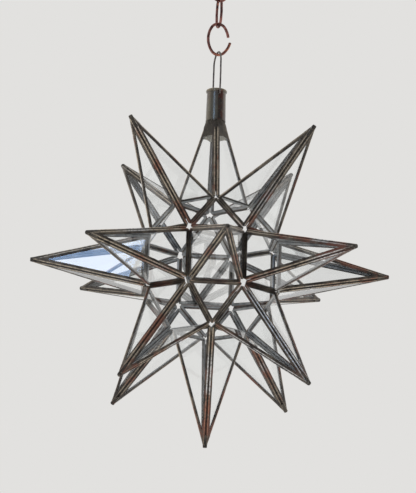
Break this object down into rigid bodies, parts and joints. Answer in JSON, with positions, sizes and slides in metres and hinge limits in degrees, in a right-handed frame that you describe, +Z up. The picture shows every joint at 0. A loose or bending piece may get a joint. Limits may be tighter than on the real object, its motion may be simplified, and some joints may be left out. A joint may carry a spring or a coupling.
{
  "type": "moravian star pendant",
  "caption": "Hanging star lantern of clear glass points edged with dark folded channel, on a wire bail, an open ring and chain links.",
  "frame": {"origin": "the eye of the top chain link, where its inner edge rests on the hook or link that holds it", "axes": "+Z up, -Y towards the front point, +X to the right"},
  "size_m": [0.458, 0.458, 0.6304],
  "materials": {
    "clear_glass": "clear, flat and slightly wavy",
    "aged_sheet": "folded tinned sheet, darkened to grey-brown with coppery patches",
    "solder": "blackened soft solder",
    "dark_wire": "blackened wire",
    "copper_wire": "copper, browned"
  },
  "bodies": {
    "top_link": {"link_2": "copper_wire"},
    "lower_link": {"link_1": "copper_wire"},
    "open_ring": {"ring": "copper_wire"},
    "bail": {"bail": "dark_wire"},
    "star": {"back_left_point_came": "aged_sheet", "back_left_point_glass": "clear_glass", "back_point_came": "aged_sheet", "back_point_glass": "clear_glass", "back_right_point_came": "aged_sheet", "back_right_point_glass": "clear_glass", "bottom_point_came": "aged_sheet", "bottom_point_glass": "clear_glass", "front_left_point_came": "aged_sheet", "front_left_point_glass": "clear_glass", "front_point_came": "aged_sheet", "front_point_glass": "clear_glass", "front_right_point_came": "aged_sheet", "front_right_point_glass": "clear_glass", "left_point_came": "aged_sheet", "left_point_glass": "clear_glass", "lower_back_left_point_came": "aged_sheet", "lower_back_left_point_glass": "clear_glass", "lower_back_right_point_came": "aged_sheet", "lower_back_right_point_glass": "clear_glass", "lower_corner_came": "aged_sheet", "lower_corner_glass": "clear_glass", "lower_front_left_point_came": "aged_sheet", "lower_front_left_point_glass": "clear_glass", "lower_front_right_point_came": "aged_sheet", "lower_front_right_point_glass": "clear_glass", "neck_skirt": "aged_sheet", "neck_solder": "solder", "neck_tube": "aged_sheet", "right_point_came": "aged_sheet", "right_point_glass": "clear_glass", "seam_solder": "solder", "tip_solder": "solder", "top_point_came": "aged_sheet", "top_point_glass": "clear_glass", "upper_back_left_point_came": "aged_sheet", "upper_back_left_point_glass": "clear_glass", "upper_back_right_point_came": "aged_sheet", "upper_back_right_point_glass": "clear_glass", "upper_corner_came": "aged_sheet", "upper_corner_glass": "clear_glass", "upper_front_left_point_came": "aged_sheet", "upper_front_left_point_glass": "clear_glass", "upper_front_right_point_came": "aged_sheet", "upper_front_right_point_glass": "clear_glass"}
  },
  "joints": [
    {"name": "lower_link_swing", "type": "hinge", "parent": "top_link", "child": "lower_link", "pos_m": [0, 0, -0.03775], "axis": [0.9763, 0.2164, 0], "range_deg": [-75, 75]},
    {"name": "ring_swing", "type": "hinge", "parent": "lower_link", "child": "open_ring", "pos_m": [0, 0, -0.07345], "axis": [0.2164, -0.9763, 0], "range_deg": [-75, 75]},
    {"name": "bail_swing", "type": "hinge", "parent": "open_ring", "child": "bail", "pos_m": [0, 0, -0.11215], "axis": [0.9763, 0.2164, 0], "range_deg": [-75, 75]},
    {"name": "star_tilt", "type": "hinge", "parent": "bail", "child": "star", "pos_m": [0, 0, -0.1689], "axis": [0.2164, -0.9763, 0], "range_deg": [-90, 90]}
  ]
}
